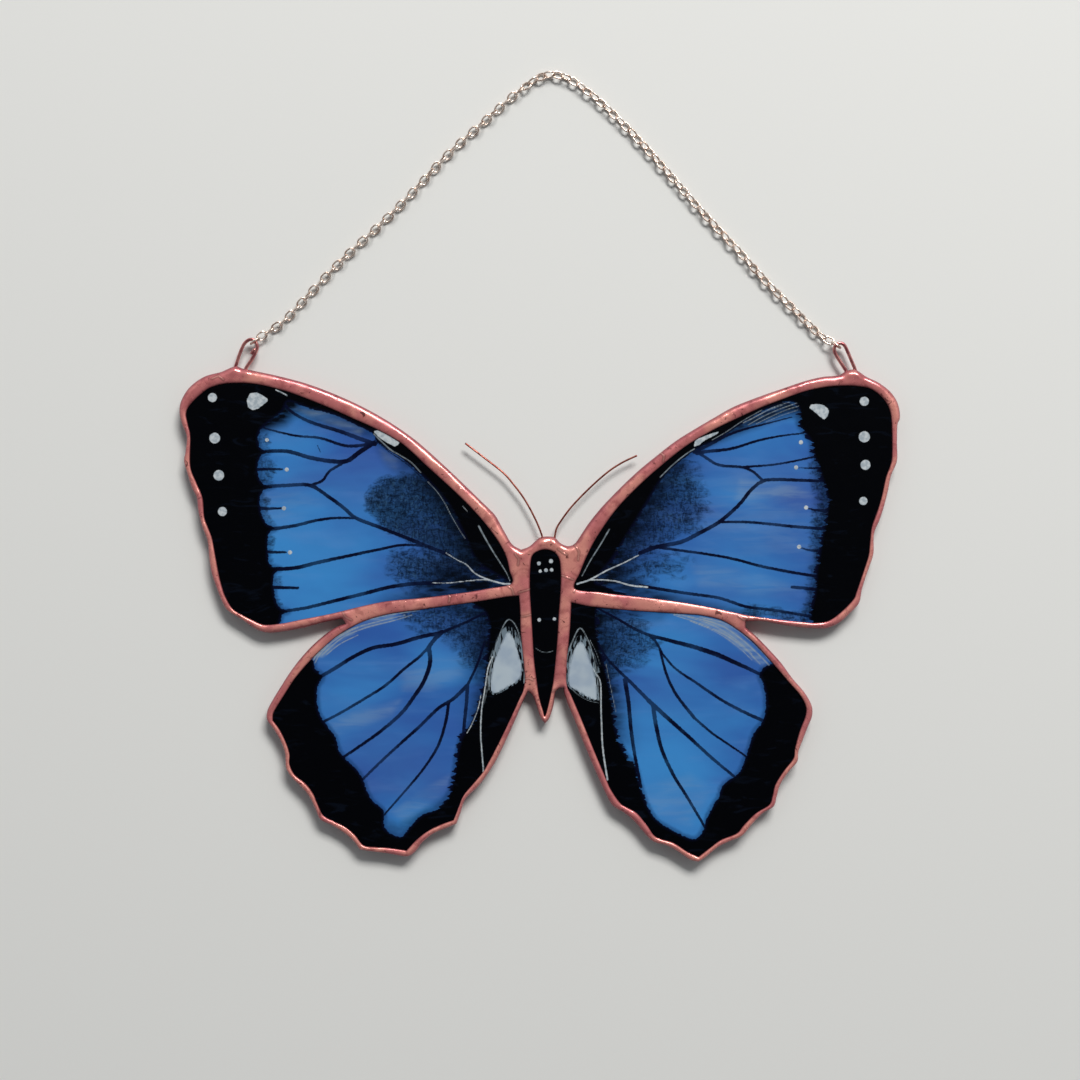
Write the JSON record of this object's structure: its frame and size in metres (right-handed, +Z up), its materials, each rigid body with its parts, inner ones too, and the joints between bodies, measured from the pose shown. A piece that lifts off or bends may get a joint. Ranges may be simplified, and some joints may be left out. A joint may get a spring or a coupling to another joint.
{
  "type": "stained glass butterfly suncatcher",
  "caption": "Stained-glass suncatcher shaped as a blue morpho butterfly: painted glass wings in copper foil, with wire antennae, wire hanging loops and a fine cable chain.",
  "frame": {"origin": "on the surface that the panel lies on, under the middle of the panel with its two hanging loops, the chain and its end links left out", "axes": "+X towards the right wing tip as seen from the painted face, +Y towards the head and the chain, +Z up out of the painted face"},
  "size_m": [0.231, 0.2541, 0.0048],
  "materials": {
    "copper": "burnished, slightly uneven copper-toned solder over copper foil",
    "blue_glass": "glossy streaky blue glass with black, white and navy paint",
    "black_glass": "glossy black glass with small painted dots",
    "chain_metal": "bright plated wire, pale rose gold"
  },
  "bodies": {
    "root": {"copper_frame": "copper", "left_forewing_glass": "blue_glass", "right_forewing_glass": "blue_glass", "left_hindwing_glass": "blue_glass", "right_hindwing_glass": "blue_glass", "body_glass": "black_glass", "left_antenna": "copper", "right_antenna": "copper", "left_hanging_loop": "copper", "right_hanging_loop": "copper", "chain": "chain_metal", "left_end_link": "chain_metal", "right_end_link": "chain_metal"}
  },
  "joints": []
}
